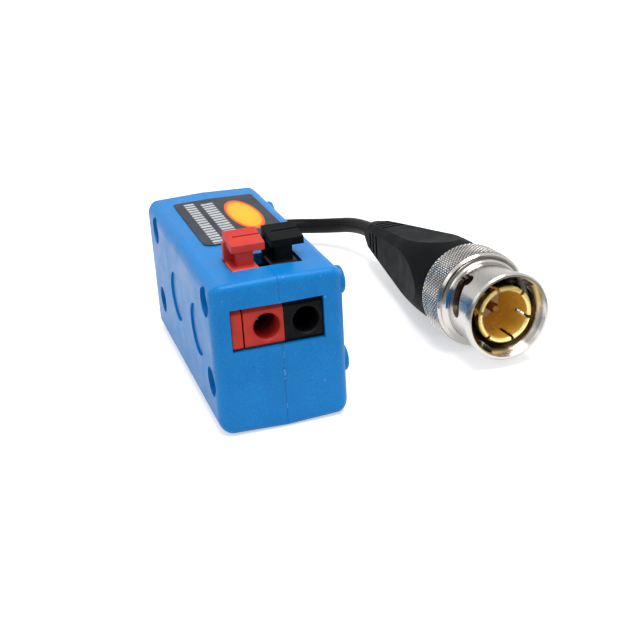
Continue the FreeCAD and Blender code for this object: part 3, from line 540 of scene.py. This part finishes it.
# painted shade on the outside of the sleeve, deep behind the mouth
gap_shaded = mixed(contact_gold, sums(contact_gold, "MULTIPLY", outside, deep), gold, gap_shade_brown)
worn_tip = mixed(contact_gold, tip, gap_shaded, pale_gold)
join(contact_gold, worn_tip, gold_shader.inputs["Base Color"])
dull_bore = sums(contact_gold, "SUBTRACT", 1.0, sums(contact_gold, "MULTIPLY", bore, 0.5))
join(contact_gold, dull_bore, gold_shader.inputs["Metallic"])
# the pin's gold is darkened all over as painted shade
shaded_pin_gold = plated("shaded_pin_gold", (0.22, 0.12, 0.035), 0.4, rings=50000.0, depth=0.000003)
dress(contact_gold, "outer_contact")
dress(shaded_pin_gold, "centre_pin")
print("gold contacts dressed")

# %% [markdown]
# The grip of the nut is knurled: two sets of slanting cuts leave rows of little
# pyramids. Bump alone looks flat at the edge of a shape, so the band is real mesh, a
# grid bent round the axis whose points are lifted where both sets of cuts are far. The
# lift fades at both ends of the band, where the cutting wheel runs out.

# %% Points of the knurled grip
knurl_start = 0.0080
knurl_end = 0.0129
knurl_radius = 0.0071
knurl_depth = 0.00016
knurl_count = 66
knurl_pitch = 0.00063
steps_per_ridge = 8
steps_round = knurl_count * steps_per_ridge
rows_along = 64
rows_faded = 4


def ridge(value):
    """A zigzag between 0 and 1."""
    value = value % 1.0
    return 1 - abs(2 * value - 1)


def knurl_lift(turn, along):
    """How high a point stands between the two sets of cuts."""
    first = ridge(turn * knurl_count + along / knurl_pitch)
    second = ridge(turn * knurl_count - along / knurl_pitch)
    return min(first, second)


verts = []
lifts = []
for row in range(rows_along + 1):
    share = row / rows_along
    along = knurl_start + (knurl_end - knurl_start) * share
    edge = min(1.0, min(share, 1 - share) * rows_along / rows_faded)
    for step in range(steps_round):
        turn = step / steps_round
        lift = knurl_lift(turn, along) * edge
        radius = knurl_radius - knurl_depth * (1 - lift)
        angle = 2 * math.pi * turn
        around = left * math.cos(angle) + over * math.sin(angle)
        verts.append(mouth + back * along + around * radius)
        lifts.append(lift)
print("knurl points:", len(verts))

# %% [markdown]
# The points are joined to a closed band of four-sided faces. The lift is stored with
# each point, so that the material can make the cuts near black and the crests lighter
# than the rest of the nut. The band rides on the nut and turns with it.

# %% Knurled grip
faces = []
for row in range(rows_along):
    for step in range(steps_round):
        here = row * steps_round + step
        beside = row * steps_round + (step + 1) % steps_round
        faces.append((here, beside, beside + steps_round, here + steps_round))
knurl_mesh = bpy.data.meshes.new("knurled_grip")
knurl_mesh.from_pydata(verts, [], faces)
knurl_mesh.update()
knurled_grip = bpy.data.objects.new("knurled_grip", knurl_mesh)
scene.collection.objects.link(knurled_grip)
stored = knurl_mesh.attributes.new("lift", "FLOAT", "POINT")
stored.data.foreach_set("value", lifts)

# the cuts are made near black and the crests pale, by the stored lift
cut_grey = (0.10, 0.095, 0.09)
crest_nickel = (0.80, 0.77, 0.73)
knurl_nickel = plated("knurl_nickel", (0.66, 0.63, 0.60), 0.24, rings=60000.0, depth=0.000002)
height = add(knurl_nickel, "Attribute", attribute_name="lift").outputs["Fac"]
knurl_tones = two_tones(knurl_nickel, height, cut_grey, crest_nickel, low=0.08, high=0.75)
join(knurl_nickel, knurl_tones, knurl_nickel.node_tree.nodes["Principled BSDF"].inputs["Base Color"])
knurl_mesh.materials.append(knurl_nickel)
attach(knurled_grip, "coupling_nut")
print("knurl faces:", len(faces))

# %% [markdown]
# The pieces inside are seldom seen, yet each one gets its own finish: green solder mask
# on the board, grey fired ferrite for the ring, lacquered copper for its turns, and so
# on. One short function is enough, since they differ only in colour, gloss and grain.

# %% Pieces inside
def plain_finish(name, colour, gloss, grain, metallic=0.0):
    material, shader = start_finish(name, colour, gloss, metallic)
    cloud = speckle(material, scale=grain)
    darker = tuple(value * 0.8 for value in colour)
    join(material, two_tones(material, cloud, darker, colour), shader.inputs["Base Color"])
    join(material, spread(material, cloud, gloss - 0.05, gloss + 0.07), shader.inputs["Roughness"])
    bump(material, shader, cloud, depth=0.00001, strength=0.3)
    return material


dress(plain_finish("board_green", (0.015, 0.13, 0.05), 0.3, 800), "circuit_board")
dress(plain_finish("core_ferrite", (0.05, 0.05, 0.055), 0.6, 2000), "balun_core")
dress(plain_finish("winding_copper", (0.60, 0.22, 0.08), 0.3, 1500, 1.0), "winding_pair", "winding_coax")
dress(plain_finish("lead_copper", (0.75, 0.38, 0.2), 0.35, 1500, 1.0), "lead_core", "lead_screen")
dress(plain_finish("diode_black", (0.02, 0.02, 0.02), 0.5, 2500), "surge_diode")
dress(plain_finish("capacitor_blue", (0.06, 0.16, 0.42), 0.3, 900), "capacitor")
dress(plain_finish("insulator_white", (0.88, 0.84, 0.70), 0.4, 700), "insulator")
dress(plain_finish("gasket_brown", (0.05, 0.012, 0.01), 0.6, 1200), "gasket")
print("inner pieces dressed")

# %% [markdown]
# A product shot stands on a white sweep. The floor is a plain board that lies just
# under the part and keeps its shadow. It is staging and no piece of the part, and so
# are the cards further on, so one function makes both.

# %% Floor
floor_reach = 1.5
floor_height = -0.00005


def board(name, corners, height=0.0):
    """A flat board from four corners, kept out of the part."""
    mesh = bpy.data.meshes.new(name)
    mesh.from_pydata(corners, [], [(0, 1, 2, 3)])
    item = bpy.data.objects.new(name, mesh)
    item.location.z = height
    scene.collection.objects.link(item)
    return item


around_part = ((-1, -1), (1, -1), (1, 1), (-1, 1))
floor = board("floor", [(x * floor_reach, y * floor_reach, 0) for x, y in around_part], floor_height)
print("floor laid,", 2 * floor_reach, "m wide")

# %% [markdown]
# The floor should look white, yet light the part no more than pale paper does. So the
# camera and shiny surfaces see an added glow, and other rays don't. A light path node
# tells the two kinds of rays apart.

# %% White of the floor
floor_grey = 0.8
floor_glow = 0.5


def seen_rays(owner):
    """1 for what is seen directly, in a shiny surface or through a clear one."""
    rays = add(owner, "LightPath")
    seen = sums(owner, "MAXIMUM", rays.outputs["Is Camera Ray"], rays.outputs["Is Glossy Ray"])
    return sums(owner, "MAXIMUM", seen, rays.outputs["Is Transmission Ray"])


floor_white = bpy.data.materials.new("floor_white")
floor_white.use_nodes = True
floor_white.node_tree.nodes.clear()
paper = add(floor_white, "BsdfDiffuse")
paper.inputs["Color"].default_value = (floor_grey, floor_grey, floor_grey, 1)
glow = add(floor_white, "Emission")
join(floor_white, sums(floor_white, "MULTIPLY", seen_rays(floor_white), floor_glow), glow.inputs["Strength"])
both = add(floor_white, "AddShader")
join(floor_white, paper.outputs["BSDF"], both.inputs[0])
join(floor_white, glow.outputs["Emission"], both.inputs[1])
join(floor_white, both.outputs["Shader"], add(floor_white, "OutputMaterial").inputs["Surface"])
floor.data.materials.append(floor_white)
print("floor is", floor_grey, "grey with a glow of", floor_glow)

# %% [markdown]
# A pale world lights the part softly from all sides. What is seen of it, directly or in
# a reflection, is pure white, by the same light path as for the floor.

# %% World
sky_level = 0.6
world = bpy.data.worlds.new("world")
world.use_nodes = True
scene.world = world
sky = world.node_tree.nodes["Background"]
sky.inputs["Color"].default_value = (1, 1, 1, 1)
sky_strength = sums(world, "MULTIPLY_ADD", seen_rays(world), 1 - sky_level, sky_level)
join(world, sky_strength, sky.inputs["Strength"])
scene.view_settings.view_transform = "Standard"
print("world set to", sky_level)

# %% [markdown]
# Two broad lamps shape the part: a large one almost above it, and a weak one from the
# left that opens the shadows. Both aim at the middle of the part.

# %% Lamps
def lamp(name, place, target, size, power):
    """A round area lamp, in metres and watts."""
    data = bpy.data.lights.new(name, "AREA")
    data.shape = "DISK"
    data.size = size
    data.energy = power
    item = bpy.data.objects.new(name, data)
    item.location = place
    item.rotation_mode = "QUATERNION"
    item.rotation_quaternion = (Vector(target) - Vector(place)).to_track_quat("-Z", "Y")
    scene.collection.objects.link(item)


middle = (0.015, 0.01, 0.01)
lamp("top_lamp", (0.05, -0.07, 0.45), middle, size=0.3, power=1.85)
lamp("side_lamp", (-0.35, -0.25, 0.3), middle, size=0.25, power=0.2)
print("lamps placed")

# %% [markdown]
# Bright metal shows whatever stands around it, and in an all-white room it would look
# flat. Photographers stand cards round it: here a dark one behind the camera, a lighter
# one high at the back and a grey one on the floor in front. They are seen only in
# reflections, so they take no light away.

# %% Cards for the reflections
card_reach = 0.9


def card(name, near, far, tone):
    """A card from a near edge to a far edge, each given as (y, z), and its tone."""
    corners = [(-card_reach, *near), (card_reach, *near), (card_reach, *far), (-card_reach, *far)]
    item = board(name, corners)
    paint = bpy.data.materials.new(name)
    paint.use_nodes = True
    coat = paint.node_tree.nodes["Principled BSDF"]
    coat.inputs["Base Color"].default_value = (tone, tone, tone, 1)
    coat.inputs["Roughness"].default_value = 1.0
    item.data.materials.append(paint)
    item.visible_camera = False
    item.visible_diffuse = False
    item.visible_shadow = False
    item.visible_transmission = False


card("front_card", near=(-0.4, 0.0), far=(-0.4, 0.45), tone=0.22)
card("floor_card", near=(-0.035, 0.0002), far=(-0.39, 0.0002), tone=0.25)
card("back_card", near=(0.6, 0.4), far=(0.6, 1.6), tone=0.4)
print("cards placed")
